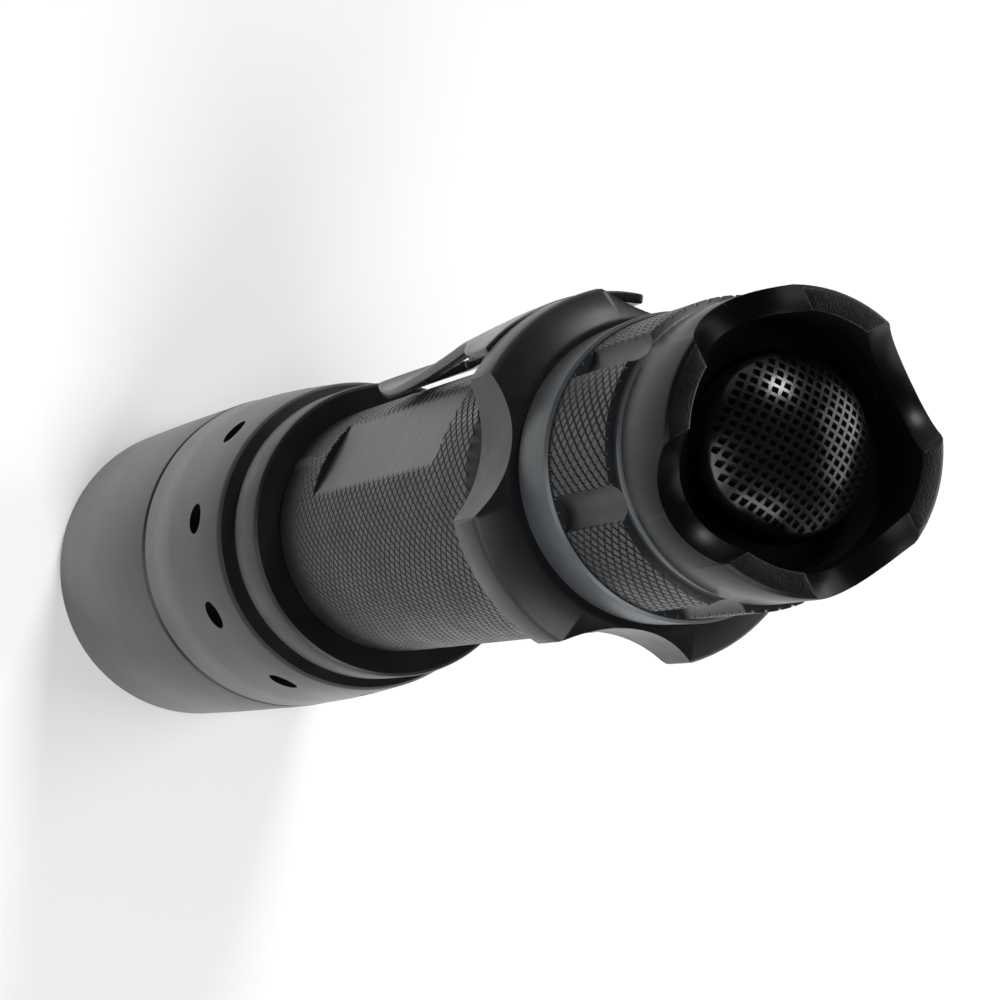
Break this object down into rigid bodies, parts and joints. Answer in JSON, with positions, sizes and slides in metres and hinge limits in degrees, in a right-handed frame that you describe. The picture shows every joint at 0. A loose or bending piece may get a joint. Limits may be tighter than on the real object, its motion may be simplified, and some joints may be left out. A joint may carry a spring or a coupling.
{
  "type": "tactical flashlight",
  "caption": "Handheld flashlight with a knurled battery tube, finned head, scalloped finger ring, pocket clip and a tail cap with a recessed push button.",
  "frame": {"origin": "centre of the bezel's front rim, which the light stands on", "axes": "+Z along the light's axis from the lens to the tail button; the pocket clip lies at 110 degrees from +X towards +Y"},
  "size_m": [0.036, 0.036, 0.16],
  "materials": {
    "anodised_black": "satin black anodising over a fine bead-blasted surface",
    "black_steel": "semi-gloss black coating on spring steel",
    "black_rubber": "matt moulded rubber",
    "lens_glass": "clear coated glass",
    "mirror_coating": "vacuum-metallised smooth bowl",
    "led_phosphor": "yellow phosphor under clear silicone",
    "white_board": "white solder mask on aluminium",
    "circuit_board": "green solder mask",
    "brass": "turned brass",
    "gilt_spring": "gold-plated spring wire",
    "plain_steel": "nickel-plated steel",
    "cell_wrap": "shrink-wrap sleeve",
    "dark_plastic": "moulded plastic",
    "red_insulation": "silicone wire insulation",
    "black_insulation": "silicone wire insulation"
  },
  "bodies": {
    "barrel": {"body_tube": "anodised_black", "head_shell": "anodised_black", "reflector": "mirror_coating", "led_emitter": "led_phosphor", "led_star_board": "white_board", "heat_sink": "brass", "driver_board": "circuit_board", "led_wire_positive": "red_insulation", "led_wire_negative": "black_insulation", "driver_spring": "gilt_spring", "contact_ring": "brass", "bezel_o_ring": "black_rubber", "head_o_ring": "black_rubber", "tail_o_ring": "black_rubber", "tactical_ring": "anodised_black", "clip_collar": "black_steel"},
    "lens_pack": {"lens": "lens_glass", "lens_gasket": "black_rubber"},
    "bezel": {"bezel_ring": "anodised_black"},
    "cell": {"battery_cell": "cell_wrap", "battery_button": "plain_steel"},
    "tail": {"tail_cap": "anodised_black", "boot_flange": "black_rubber", "boot_washer": "dark_plastic", "switch_body": "dark_plastic", "switch_board": "circuit_board", "switch_spring": "plain_steel", "switch_retaining_ring": "brass", "tail_spring": "gilt_spring"},
    "button": {"boot_dome": "black_rubber", "switch_plunger": "dark_plastic"},
    "clip": {"clip_arm": "black_steel"}
  },
  "joints": [
    {"name": "tailcap_travel", "type": "slide", "parent": "barrel", "child": "cell", "axis": [0, 0, 1], "range_m": [0, 0.006], "deforming": ["driver_spring"]},
    {"name": "tailcap_turn", "type": "hinge", "parent": "cell", "child": "tail", "pos_m": [0, 0, 0.14], "axis": [0, 0, 1], "range_deg": [0, 1440]},
    {"name": "button_press", "type": "slide", "parent": "tail", "child": "button", "axis": [0, 0, -1], "range_m": [0, 0.002], "stiffness_N_per_m": 1500, "springref_m": -0.0005, "deforming": ["switch_spring"]},
    {"name": "clip_flex", "type": "hinge", "parent": "barrel", "child": "clip", "pos_m": [-0.00544, 0.01494, 0.1262], "axis": [0.9397, 0.342, 0], "range_deg": [0, 6], "stiffness_Nm_per_rad": 2, "springref_deg": -0.57},
    {"name": "bezel_travel", "type": "slide", "parent": "barrel", "child": "lens_pack", "axis": [0, 0, -1], "range_m": [0, 0.006]},
    {"name": "bezel_turn", "type": "hinge", "parent": "lens_pack", "child": "bezel", "pos_m": [0, 0, 0.02], "axis": [0, 0, -1], "range_deg": [0, 1440]}
  ],
  "couplings": [
    {"joint": "tailcap_turn", "follows": "tailcap_travel", "rad_per_m": 4188.8},
    {"joint": "bezel_turn", "follows": "bezel_travel", "rad_per_m": 4188.8}
  ]
}
